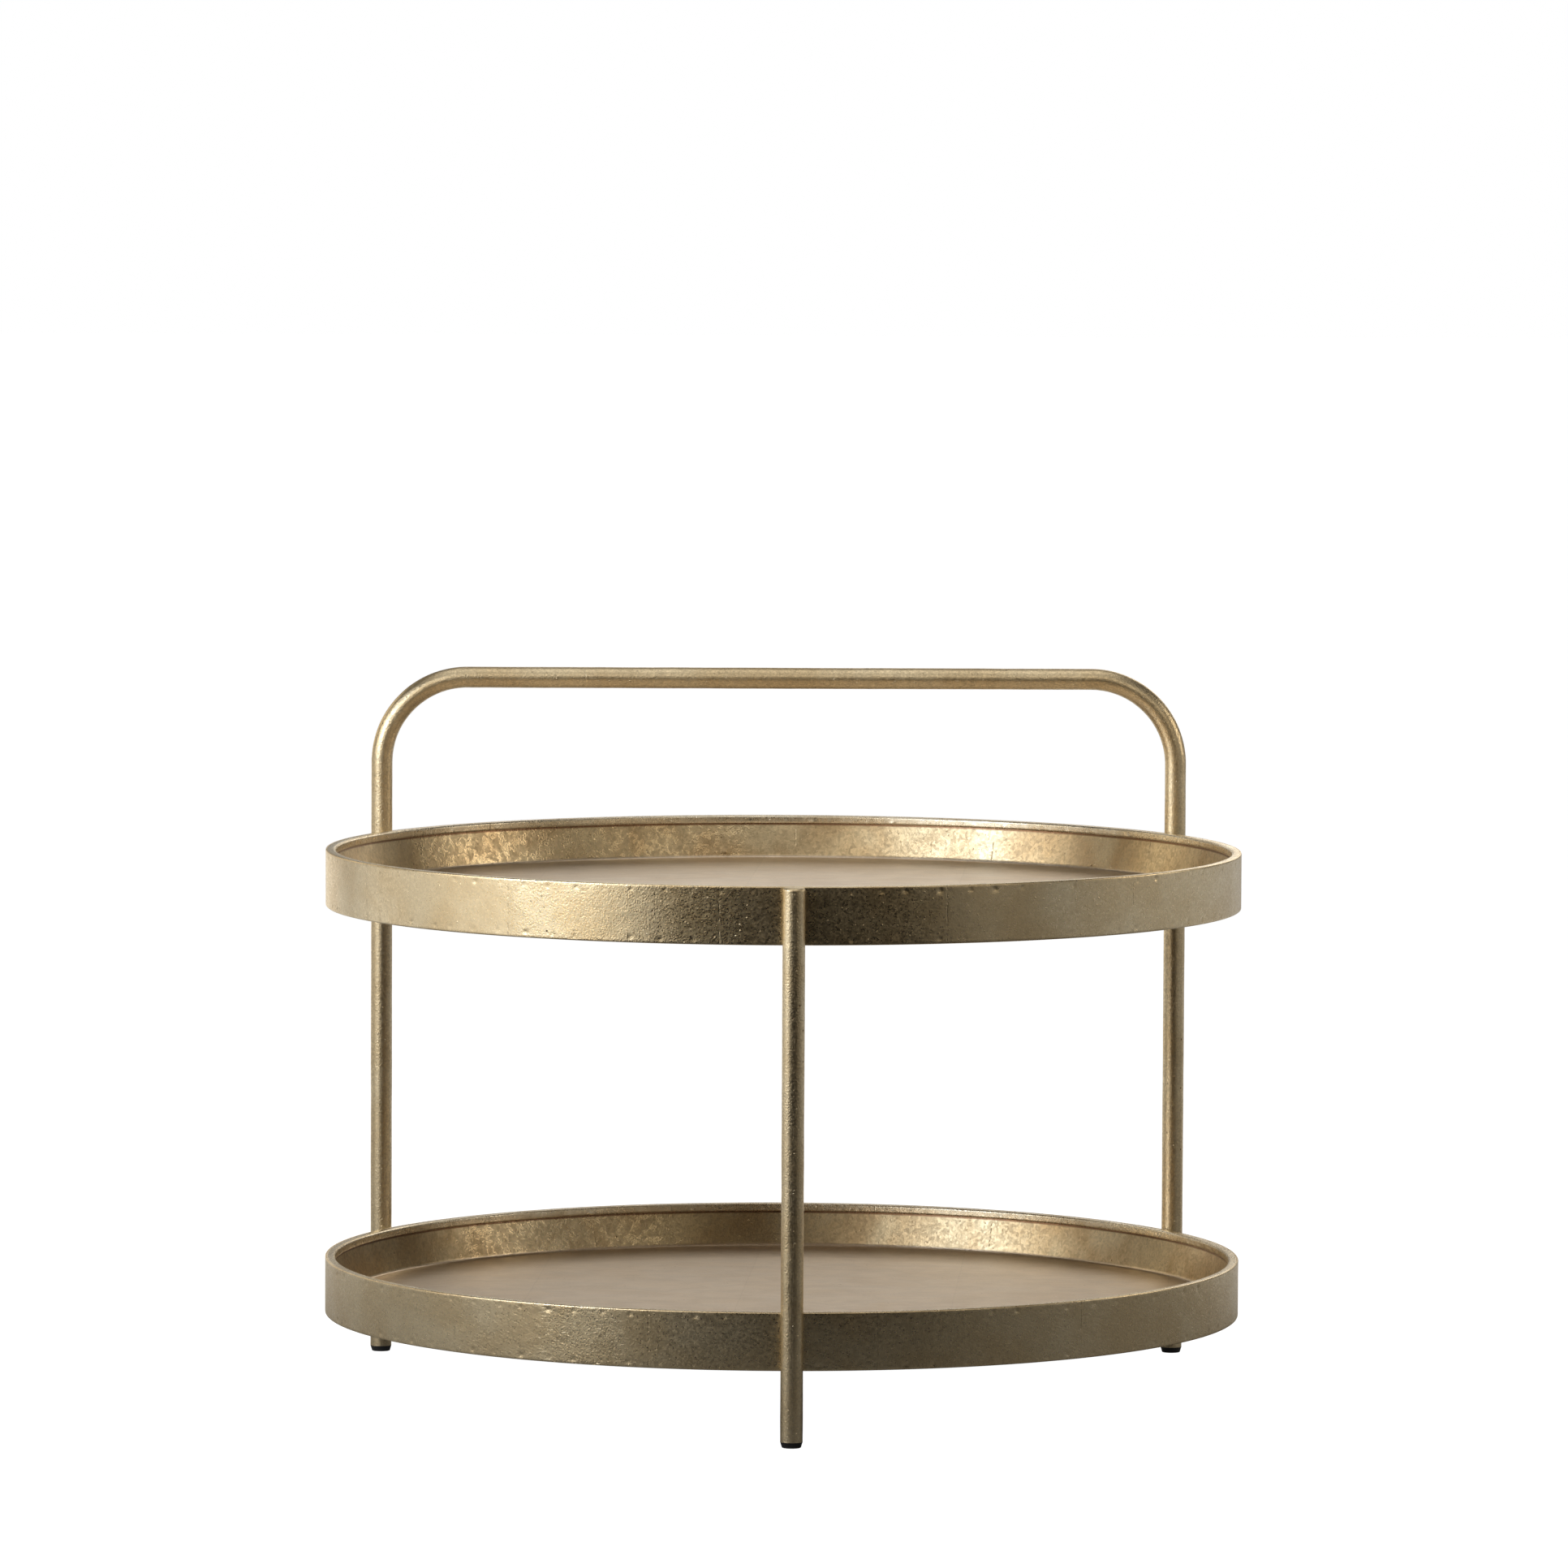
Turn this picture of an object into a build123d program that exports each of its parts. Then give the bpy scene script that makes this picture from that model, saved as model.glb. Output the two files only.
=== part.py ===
from build123d import *
import os
from math import cos, radians, sin

# Millimetres. +Z is up, +Y points from the single front leg to the handle at the rear.
# The origin is on the floor, at the centre of the table's bounding box.

# Overall sizes
TIER_RADIUS = 325.0  # outside of each tier's band
OVERALL_HEIGHT = 500.0  # floor to the top of the handle
UPPER_RIM_HEIGHT = 381.0  # floor to the top face of the upper tier's rim
LOWER_RIM_HEIGHT = 91.0  # floor to the top face of the lower tier's rim

# Leg and handle tube
TUBE_DIAMETER = 15.4
TUBE_WALL = 1.2
HANDLE_BEND_RADIUS = 62.0  # to the tube's centreline
FRONT_LEG_ANGLE = -90.0
REAR_LEG_ANGLES = (30.0, 150.0)

# Band round each tier
BAND_HEIGHT = 40.0
BAND_SHEET = 1.2
BAND_EDGE_ROUND = 1.0

# Bar that stiffens the band's top edge and makes the thick rim
RIM_BAR_WIDTH = 6.0
RIM_BAR_HEIGHT = 6.0
RIM_BAR_ROUND = 1.4

# Rolled angle inside the band's bottom edge, on which the pan rests
LEDGE_HEIGHT = 8.0
LEDGE_WIDTH = 16.0
LEDGE_THICKNESS = 1.5

# Pressed pan: the tray's floor and its sloping wall
PAN_SHEET = 0.9
PAN_FLOOR_INSET = 11.5  # from the band's outside to the floor's edge
PAN_MOUTH_INSET = 5.5  # from the band's outside to the top of the wall
PAN_CORNER_ROUND = 1.6

# Three-armed channel that stiffens the pan's floor from below
BRACE_WIDTH = 26.0
BRACE_HEIGHT = 6.0
BRACE_SHEET = 1.0

# Weld between a leg and a band
WELD_GAP = 0.5  # from the band to the nearest line of the tube
WELD_WIDTH = 9.0
WELD_END_SPACE = 3.0  # from the end of the bead to the edge of the band

# Cap that closes the top of the front leg
CAP_THICKNESS = 3.0
CAP_ROUND = 2.2
CAP_SPIGOT_LENGTH = 8.0

# Plastic glide in the bottom of each leg
FOOT_HEIGHT = 4.0
FOOT_TIP_DIAMETER = 13.4
FOOT_EDGE_ROUND = 0.8
FOOT_PLUG_LENGTH = 16.0
FOOT_CORE_DIAMETER = 9.6
FOOT_FIN_COUNT = 4
FOOT_FIN_THICKNESS = 1.4

# Clearance between a plug and the tube's bore, on the radius
PLUG_CLEARANCE = 0.05

# Sizes that follow from the ones above
TUBE_RADIUS = TUBE_DIAMETER / 2
BORE_RADIUS = TUBE_RADIUS - TUBE_WALL
PLUG_RADIUS = BORE_RADIUS - PLUG_CLEARANCE
BAND_INNER_RADIUS = TIER_RADIUS - BAND_SHEET
LEG_CIRCLE_RADIUS = TIER_RADIUS + WELD_GAP + TUBE_RADIUS
HANDLE_AXIS_HEIGHT = OVERALL_HEIGHT - TUBE_RADIUS
LEDGE_INNER_RADIUS = BAND_INNER_RADIUS - LEDGE_WIDTH
# The front leg stands proud of the tiers, so their axis lies this far behind the origin.
TIER_AXIS_Y = (LEG_CIRCLE_RADIUS + TUBE_RADIUS - TIER_RADIUS) / 2
TIERS = {"upper": UPPER_RIM_HEIGHT, "lower": LOWER_RIM_HEIGHT}


def leg_place(angle):
    """The leg's axis on the floor, measured from the tiers' axis."""
    return (LEG_CIRCLE_RADIUS * cos(radians(angle)), LEG_CIRCLE_RADIUS * sin(radians(angle)))


def disc(radius, low, high):
    """A round slab about the tiers' axis, from one height to another."""
    return Pos(0, 0, (low + high) / 2) * Cylinder(radius, high - low)


def ring(outer_radius, inner_radius, low, high):
    """A flat-ended ring about the tiers' axis."""
    return disc(outer_radius, low, high) - disc(inner_radius, low, high)


def circles_at(solid, radius):
    """The circular edges of one radius."""
    return [e for e in solid.edges().filter_by(GeomType.CIRCLE) if abs(e.radius - radius) < 1e-3]


def band(rim):
    """The rolled sheet band that the eye sees from outside."""
    body = ring(TIER_RADIUS, BAND_INNER_RADIUS, rim - BAND_HEIGHT, rim)
    return fillet(circles_at(body, TIER_RADIUS), BAND_EDGE_ROUND)


def rim_bar(rim):
    """The square bar inside the band's top edge."""
    inner_radius = BAND_INNER_RADIUS - RIM_BAR_WIDTH
    body = ring(BAND_INNER_RADIUS, inner_radius, rim - RIM_BAR_HEIGHT, rim)
    return fillet(circles_at(body, inner_radius), RIM_BAR_ROUND)


def ledge(rim):
    """The rolled angle: one leg on the band's inside, the other turned in under the pan."""
    bottom = rim - BAND_HEIGHT
    top = bottom + LEDGE_HEIGHT
    body = ring(BAND_INNER_RADIUS, LEDGE_INNER_RADIUS, bottom, top)
    inside_leg = BAND_INNER_RADIUS - LEDGE_THICKNESS
    return body - disc(inside_leg, bottom, top - LEDGE_THICKNESS)


def pan_block(floor_radius, mouth_radius, low, high, corner_round):
    """A solid with the pan's slope and a rounded lower edge."""
    block = Pos(0, 0, (low + high) / 2) * Cone(floor_radius, mouth_radius, high - low)
    return fillet(circles_at(block, floor_radius), corner_round)


def pan(rim):
    """The tray's floor and wall, pressed from one sheet, held between ledge and rim bar."""
    underside = rim - BAND_HEIGHT + LEDGE_HEIGHT
    mouth = rim - RIM_BAR_HEIGHT
    floor_radius = TIER_RADIUS - PAN_FLOOR_INSET
    mouth_radius = TIER_RADIUS - PAN_MOUTH_INSET
    outside = pan_block(
        floor_radius + PAN_SHEET, mouth_radius + PAN_SHEET, underside, mouth, PAN_CORNER_ROUND + PAN_SHEET
    )
    inside = pan_block(floor_radius, mouth_radius, underside + PAN_SHEET, mouth, PAN_CORNER_ROUND)
    return outside - inside


def star(arm_width, low, high):
    """Three arms from the middle towards the legs, ending at the ledge."""
    arms = [
        Rot(0, 0, angle) * Pos(LEDGE_INNER_RADIUS / 2, 0, 0) * Box(LEDGE_INNER_RADIUS, arm_width, high - low)
        for angle in (FRONT_LEG_ANGLE, *REAR_LEG_ANGLES)
    ]
    hub = Cylinder(arm_width, high - low)
    return Pos(0, 0, (low + high) / 2) * (hub + arms)


def brace(rim):
    """The folded channel under the floor, open downwards."""
    top = rim - BAND_HEIGHT + LEDGE_HEIGHT
    bottom = top - BRACE_HEIGHT
    channel = star(BRACE_WIDTH, bottom, top) - star(
        BRACE_WIDTH - 2 * BRACE_SHEET, bottom, top - BRACE_SHEET
    )
    return channel & disc(LEDGE_INNER_RADIUS, bottom, top)


def weld_bead(rim, angle):
    """The weld that fills the wedge between one leg and one band."""
    low = rim - BAND_HEIGHT + WELD_END_SPACE
    high = rim - WELD_END_SPACE
    reach = LEG_CIRCLE_RADIUS - TIER_RADIUS
    block = Pos(TIER_RADIUS, 0, (low + high) / 2) * Box(2 * reach, WELD_WIDTH, high - low)
    tube = Pos(LEG_CIRCLE_RADIUS, 0, 0) * disc(TUBE_RADIUS, low, high)
    return Rot(0, 0, angle) * (block - disc(TIER_RADIUS, low, high) - tube)


def weld_beads(rim):
    """One bead per leg, as separate solids."""
    return Compound([weld_bead(rim, angle).solid() for angle in (FRONT_LEG_ANGLE, *REAR_LEG_ANGLES)])


def handle_frame():
    """Both rear legs and the handle over them, bent from one tube."""
    right, left = (leg_place(angle) for angle in REAR_LEG_ANGLES)
    corners = (
        (*left, FOOT_HEIGHT),
        (*left, HANDLE_AXIS_HEIGHT),
        (*right, HANDLE_AXIS_HEIGHT),
        (*right, FOOT_HEIGHT),
    )
    route = FilletPolyline(*corners, radius=HANDLE_BEND_RADIUS)
    section = Plane(origin=corners[0], z_dir=(0, 0, 1)) * (Circle(TUBE_RADIUS) - Circle(BORE_RADIUS))
    return sweep(section, path=route)


def front_leg():
    """The straight front leg, open at both ends."""
    height = UPPER_RIM_HEIGHT - CAP_THICKNESS - FOOT_HEIGHT
    tube = Cylinder(TUBE_RADIUS, height) - Cylinder(BORE_RADIUS, height)
    return Pos(*leg_place(FRONT_LEG_ANGLE), FOOT_HEIGHT + height / 2) * tube


def front_leg_cap():
    """The rounded cap, flush with the upper rim, with a spigot in the bore."""
    shoulder = UPPER_RIM_HEIGHT - CAP_THICKNESS
    head = disc(TUBE_RADIUS, shoulder, UPPER_RIM_HEIGHT)
    head = fillet(head.edges().filter_by(GeomType.CIRCLE).sort_by(Axis.Z)[-1], CAP_ROUND)
    spigot = disc(PLUG_RADIUS, shoulder - CAP_SPIGOT_LENGTH, shoulder)
    return Pos(*leg_place(FRONT_LEG_ANGLE), 0) * (head + spigot)


def foot(angle):
    """The glide: a tapered tip as wide as the tube, and a finned plug in the bore."""
    tip = Pos(0, 0, FOOT_HEIGHT / 2) * Cone(FOOT_TIP_DIAMETER / 2, TUBE_RADIUS, FOOT_HEIGHT)
    tip = fillet(circles_at(tip, FOOT_TIP_DIAMETER / 2), FOOT_EDGE_ROUND)
    core = disc(FOOT_CORE_DIAMETER / 2, FOOT_HEIGHT, FOOT_HEIGHT + FOOT_PLUG_LENGTH)
    pitch = FOOT_PLUG_LENGTH / FOOT_FIN_COUNT
    fin_tops = [FOOT_HEIGHT + pitch * (index + 1) for index in range(FOOT_FIN_COUNT)]
    fins = [disc(PLUG_RADIUS, top - FOOT_FIN_THICKNESS, top) for top in fin_tops]
    return Pos(*leg_place(angle), 0) * (tip + core + fins)


def sub_parts():
    """Every piece of the table by its name, placed about the tiers' axis."""
    parts = {
        "handle_frame": handle_frame(),
        "front_leg": front_leg(),
        "front_leg_cap": front_leg_cap(),
        "front_foot": foot(FRONT_LEG_ANGLE),
        "rear_right_foot": foot(REAR_LEG_ANGLES[0]),
        "rear_left_foot": foot(REAR_LEG_ANGLES[1]),
    }
    makers = {
        "band": band,
        "rim_bar": rim_bar,
        "ledge": ledge,
        "pan": pan,
        "brace": brace,
        "weld_beads": weld_beads,
    }
    for tier, rim in TIERS.items():
        for name, make in makers.items():
            parts[f"{tier}_{name}"] = make(rim)
    return parts


os.makedirs("parts", exist_ok=True)
for node, shape in sub_parts().items():
    export_step(Pos(0, TIER_AXIS_Y, 0) * shape, f"parts/{node}.step")
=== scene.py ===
"""Looks of a low two-tier tray table in antique gold leaf: its pieces, its finishes and the studio."""

import logging
import math
from collections.abc import Sequence
from dataclasses import dataclass
from enum import Enum

import bmesh
import bpy
import numpy as np
from bmesh.types import BMEdge, BMesh, BMVert
from bpy.types import Material, Node, NodeSocket as Socket, Object, World
from mathutils import Matrix, Vector, noise


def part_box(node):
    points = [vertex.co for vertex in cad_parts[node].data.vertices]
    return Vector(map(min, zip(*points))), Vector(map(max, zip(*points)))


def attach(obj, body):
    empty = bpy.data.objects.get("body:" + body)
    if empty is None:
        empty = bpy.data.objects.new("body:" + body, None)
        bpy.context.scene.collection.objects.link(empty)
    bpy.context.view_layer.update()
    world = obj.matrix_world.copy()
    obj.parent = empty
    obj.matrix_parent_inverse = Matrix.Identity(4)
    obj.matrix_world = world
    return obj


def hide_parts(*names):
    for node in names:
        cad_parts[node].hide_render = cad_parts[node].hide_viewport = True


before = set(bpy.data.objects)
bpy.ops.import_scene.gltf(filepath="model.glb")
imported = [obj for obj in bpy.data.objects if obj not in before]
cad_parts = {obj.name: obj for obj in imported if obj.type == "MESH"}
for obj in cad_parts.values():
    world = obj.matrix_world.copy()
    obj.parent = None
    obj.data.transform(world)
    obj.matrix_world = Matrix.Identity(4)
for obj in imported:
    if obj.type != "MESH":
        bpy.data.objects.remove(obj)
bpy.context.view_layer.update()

LOG = logging.getLogger("tray_table")
MM = 0.001
FULL_TURN = 2 * math.pi
BODY = "root"
MERGE_DISTANCE = 1e-6
CRISP_ANGLE = math.radians(50)  # past it an edge stays crisp

Point = tuple[float, float]
Triple = tuple[float, float, float]
Value = float | Socket
Feeds = dict[str | int, object]
Edges = list[BMEdge]
WHITE = (1.0, 1.0, 1.0, 1.0)


# ---- measuring the frame


def rows_of(items: bpy.types.bpy_prop_collection, name: str) -> np.ndarray:
    """Reads one vector of each item of a mesh.

    Args:
        items: The items.
        name: The vector's name.

    Returns:
        A row of x, y, z for each.
    """
    flat = np.empty(len(items) * 3)
    items.foreach_get(name, flat)
    return flat.reshape(-1, 3)


def middle_of(node: str) -> Vector:
    """The centre of a CAD node's box."""
    low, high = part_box(node)
    return (low + high) / 2


TIER_CENTRE = middle_of("upper_band")


@dataclass(frozen=True)
class RingSpan:
    """How far a turned piece reaches from its axis, and between which levels."""

    inner: float
    outer: float
    low: float
    high: float

    @classmethod
    def of(cls, node: str, centre: Vector = TIER_CENTRE) -> "RingSpan":
        """Measures a turned CAD node.

        Args:
            node: The node's name.
            centre: A point on its axis.

        Returns:
            Its span about that axis.
        """
        places = rows_of(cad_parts[node].data.vertices, "co")
        reach = np.hypot(places[:, 0] - centre.x, places[:, 1] - centre.y)
        return cls(*(float(edge) for row in (reach, places[:, 2]) for edge in (row.min(), row.max())))


# ---- outlines


def arc(centre: Point, radius: float, start: float, end: float, pieces: int) -> list[Point]:
    """Points along a round stretch of an outline."""
    turns = [math.radians(start + (end - start) * step / pieces) for step in range(pieces + 1)]
    return [(centre[0] + radius * math.cos(turn), centre[1] + radius * math.sin(turn)) for turn in turns]


def filled_in(outline: Sequence[Point], longest: float) -> list[Point]:
    """Adds points to an open outline until no piece is longer than a given length.

    Args:
        outline: The outline's points.
        longest: The longest piece allowed.

    Returns:
        The outline with its extra points.
    """
    made: list[Point] = []
    for (x0, y0), (x1, y1) in zip(outline, outline[1:]):
        parts = max(1, math.ceil(math.hypot(x1 - x0, y1 - y0) / longest))
        made += [(x0 + (x1 - x0) * k / parts, y0 + (y1 - y0) * k / parts) for k in range(parts)]
    return made + [outline[-1]]


# ---- mesh tools


def turned(outline: Sequence[Point], centre: Vector, steps: int, halvings: int = 0) -> BMesh:
    """Spins a closed outline about an upright axis.

    One sector is spun and then doubled until the turn is full, because one spin of many steps is slow.

    Args:
        outline: Points of radius and level. Ends that lie on the axis are not joined.
        centre: A point on the axis.
        steps: How many steps one sector has.
        halvings: How often the full turn is halved to get the sector.

    Returns:
        The turned mesh.
    """
    bm = bmesh.new()
    dots = [bm.verts.new((radius, 0.0, level)) for radius, level in outline]
    pairs = list(zip(dots, dots[1:]))
    if outline[0][0] > 0:
        pairs.append((dots[-1], dots[0]))
    lines = [bm.edges.new(pair) for pair in pairs]
    sector = FULL_TURN / 2**halvings
    bmesh.ops.spin(
        bm, geom=dots + lines, cent=(0, 0, 0), axis=(0, 0, 1), dvec=(0, 0, 0),
        angle=sector, steps=steps, use_merge=halvings == 0, use_duplicate=False,
    )
    for doubling in range(halvings):
        copy = bmesh.ops.duplicate(bm, geom=bm.verts[:] + bm.edges[:] + bm.faces[:])
        verts = [item for item in copy["geom"] if isinstance(item, BMVert)]
        turn = Matrix.Rotation(sector * 2**doubling, 3, "Z")
        bmesh.ops.rotate(bm, verts=verts, cent=(0, 0, 0), matrix=turn)
    bmesh.ops.translate(bm, verts=bm.verts, vec=(centre.x, centre.y, 0))
    return bm


def lengthened(bm: BMesh, loop: Edges, move: Vector, pieces: int) -> Edges:
    """Extrudes an open loop of edges along a straight run.

    Args:
        bm: The mesh.
        loop: The loop's edges.
        move: The whole run.
        pieces: How many rows of faces the run has.

    Returns:
        The edges of the loop at the run's far end.
    """
    for _ in range(pieces):
        grown = bmesh.ops.extrude_edge_only(bm, edges=loop)["geom"]
        dots = {item for item in grown if isinstance(item, BMVert)}
        bmesh.ops.translate(bm, verts=list(dots), vec=move / pieces)
        lines = (item for item in grown if isinstance(item, BMEdge))
        loop = [line for line in lines if dots.issuperset(line.verts)]
    return loop


def dressed(piece: Object, material: Material) -> Object:
    """Gives a piece its only material.

    Args:
        piece: The piece.
        material: The material.

    Returns:
        The piece.
    """
    piece.data.materials.clear()
    piece.data.materials.append(material)
    LOG.info("%s: %d faces, %s", piece.name, len(piece.data.polygons), material.name)
    return piece


def stand_in(node: str, ending: str, bm: BMesh, material: Material) -> Object:
    """Makes a mesh the piece that stands for a CAD node, riding on the table's one body.

    Args:
        node: The node's name.
        ending: What the piece's name adds to it.
        bm: The mesh, which is freed.
        material: The piece's material.

    Returns:
        The piece.
    """
    bmesh.ops.remove_doubles(bm, verts=bm.verts, dist=MERGE_DISTANCE)
    bmesh.ops.recalc_face_normals(bm, faces=bm.faces)
    for face in bm.faces:
        face.smooth = True
    mesh = bpy.data.meshes.new(f"{node}_{ending}")
    bm.to_mesh(mesh)
    bm.free()
    mesh.set_sharp_from_angle(angle=CRISP_ANGLE)
    piece = bpy.data.objects.new(mesh.name, mesh)
    bpy.context.scene.collection.objects.link(piece)
    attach(piece, BODY)
    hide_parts(node)
    return dressed(piece, material)


def surface_of(piece: Object, centre: Vector) -> tuple[np.ndarray, np.ndarray]:
    """The places of a piece's vertices about an axis, and their normals, a row for each."""
    places = rows_of(piece.data.vertices, "co") - (centre.x, centre.y, 0.0)
    return places, rows_of(piece.data.vertex_normals, "vector")


def moved(piece: Object, shift: np.ndarray) -> None:
    """Moves each vertex of a piece.

    Args:
        piece: The piece.
        shift: A row for each vertex, in metres.
    """
    places = rows_of(piece.data.vertices, "co") + shift
    piece.data.vertices.foreach_set("co", places.ravel())
    piece.data.update()


def lumps(places: np.ndarray, size: float, seed: int) -> np.ndarray:
    """Smooth uneven heights over a surface."""
    offset = Vector((seed * 7.3, seed * 3.1, seed * 5.7))
    return np.array([noise.noise(Vector(row) / size + offset) for row in places])


def outward_from_axis(places: np.ndarray) -> np.ndarray:
    """Level unit vectors away from the axis, one for each row of places about it."""
    return places * (1.0, 1.0, 0.0) / np.hypot(places[:, 0], places[:, 1])[:, None]


# ---- laying nodes


class Wiring:
    """Lays the nodes of one material or world."""

    def __init__(self, owner: Material | World) -> None:
        """Takes over the owner's node tree."""
        owner.use_nodes = True
        self.tree = owner.node_tree

    def feed(self, node: Node, feeds: Feeds) -> None:
        """Fills a node's inlets.

        Args:
            node: The node.
            feeds: A socket or a plain value for each inlet.
        """
        for name, value in feeds.items():
            if isinstance(value, Socket):
                self.tree.links.new(value, node.inputs[name])
            else:
                node.inputs[name].default_value = value

    def node(self, kind: str, feeds: Feeds, outlet: int | str = 0, **settings: object) -> Socket:
        """Adds a node.

        Args:
            kind: The node's type, without its ShaderNode prefix.
            feeds: A socket or a plain value for each inlet.
            outlet: The outlet that is wanted.
            settings: Properties to set on the node.

        Returns:
            The outlet's socket.
        """
        made = self.tree.nodes.new("ShaderNode" + kind)
        for name, value in settings.items():
            setattr(made, name, value)
        self.feed(made, feeds)
        return made.outputs[outlet]

    def split(self, where: Socket) -> list[Socket]:
        """A vector's three parts."""
        return list(self.node("SeparateXYZ", {0: where}).node.outputs)


# ---- camera and studio


@dataclass(frozen=True)
class TableCamera:
    """The camera, placed in tray radii about the tiers' axis."""

    lens: float = 219.2
    aside: float = -0.0363
    back: float = 20.795
    up: float = 2.808
    yaw: float = 0.100
    pitch: float = 4.108
    roll: float = -0.278
    turn: float = 1.140
    sensor: float = 36.0
    nearest: float = 0.1
    farthest: float = 100.0

    def build(self, radius: float) -> None:
        """Makes the camera and gives it to the scene.

        Args:
            radius: The tray's radius in metres.
        """
        yaw, pitch, roll, turn = (math.radians(a) for a in (self.yaw, self.pitch, self.roll, self.turn))
        ahead = Vector((math.sin(yaw) * math.cos(pitch), math.cos(yaw) * math.cos(pitch), -math.sin(pitch)))
        right = Vector((math.cos(yaw), -math.sin(yaw), 0.0))
        upward = right.cross(ahead)
        right, upward = (
            right * math.cos(roll) - upward * math.sin(roll),
            right * math.sin(roll) + upward * math.cos(roll),
        )
        pose = Matrix((right, upward, -ahead)).transposed().to_4x4()
        pose.translation = Vector((self.aside, -self.back, self.up)) * radius
        about_axis = Matrix.Translation((TIER_CENTRE.x, TIER_CENTRE.y, 0.0)) @ Matrix.Rotation(-turn, 4, "Z")
        data = bpy.data.cameras.new("camera")
        data.lens, data.sensor_width = self.lens, self.sensor
        data.clip_start, data.clip_end = self.nearest, self.farthest
        camera = bpy.data.objects.new("camera", data)
        camera.matrix_world = about_axis @ pose
        bpy.context.scene.collection.objects.link(camera)
        bpy.context.scene.camera = camera


@dataclass(frozen=True)
class PanelBank:
    """Soft panels at one height in a ring round the table, each facing it.

    A panel is a bearing, with 0 in front and 90 at the right, a radiance, and a warmth, with 0 for white.
    """

    name: str
    distance: float
    height: float
    size: Point
    panels: tuple[Triple, ...]
    amber: Triple = (1.0, 0.84, 0.60)

    def build(self, target: Vector) -> None:
        """Makes the lights.

        Args:
            target: What they face.
        """
        centre = Vector((TIER_CENTRE.x, TIER_CENTRE.y, self.height))
        for index, (bearing, radiance, warmth) in enumerate(self.panels):
            turn = math.radians(bearing)
            place = centre + Vector((math.sin(turn), -math.cos(turn), 0)) * self.distance
            data = bpy.data.lights.new(f"{self.name}_{index}", "AREA")
            data.shape, data.size, data.size_y = "RECTANGLE", *self.size
            data.energy = radiance * math.pi * self.size[0] * self.size[1]
            data.color = [1 + (tone - 1) * warmth for tone in self.amber]
            lamp = bpy.data.objects.new(data.name, data)
            lamp.location = place
            lamp.rotation_mode = "QUATERNION"
            lamp.rotation_quaternion = (target - place).to_track_quat("-Z", "Y")
            lamp.visible_camera = False
            bpy.context.scene.collection.objects.link(lamp)


HIGH_BANK = PanelBank(
    "high", 1.5, 0.85, (0.62, 0.70),
    (
        (-130, 1.07, 1.0), (-80, 2.25, 0.7), (-60, 3.60, -1.0), (-42, 2.10, 0.2), (-24, 0.56, 1.2),
        (24, 0.17, 1.4), (45, 0.75, 0.75), (95, 2.20, 0.6), (155, 1.50, 0.6), (180, 0.80, 0.4),
    ),
)
LOW_BANK = PanelBank(
    "low", 1.3, 0.28, (0.60, 0.40),
    (
        (-150, 0.63, 0.8), (-105, 0.42, 0.2), (-75, 0.80, 0.4), (-50, 1.15, 0.5), (50, 0.18, 0.4),
        (75, 0.32, 0.0),
    ),
)
FRONT_PANEL = PanelBank("front", 1.3, 1.45, (1.8, 0.7), ((0, 1.0, 0.4),))
TOP_PANEL = PanelBank("top", 0.01, 1.9, (1.6, 1.6), ((180, 0.9, 0.25),))


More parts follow.
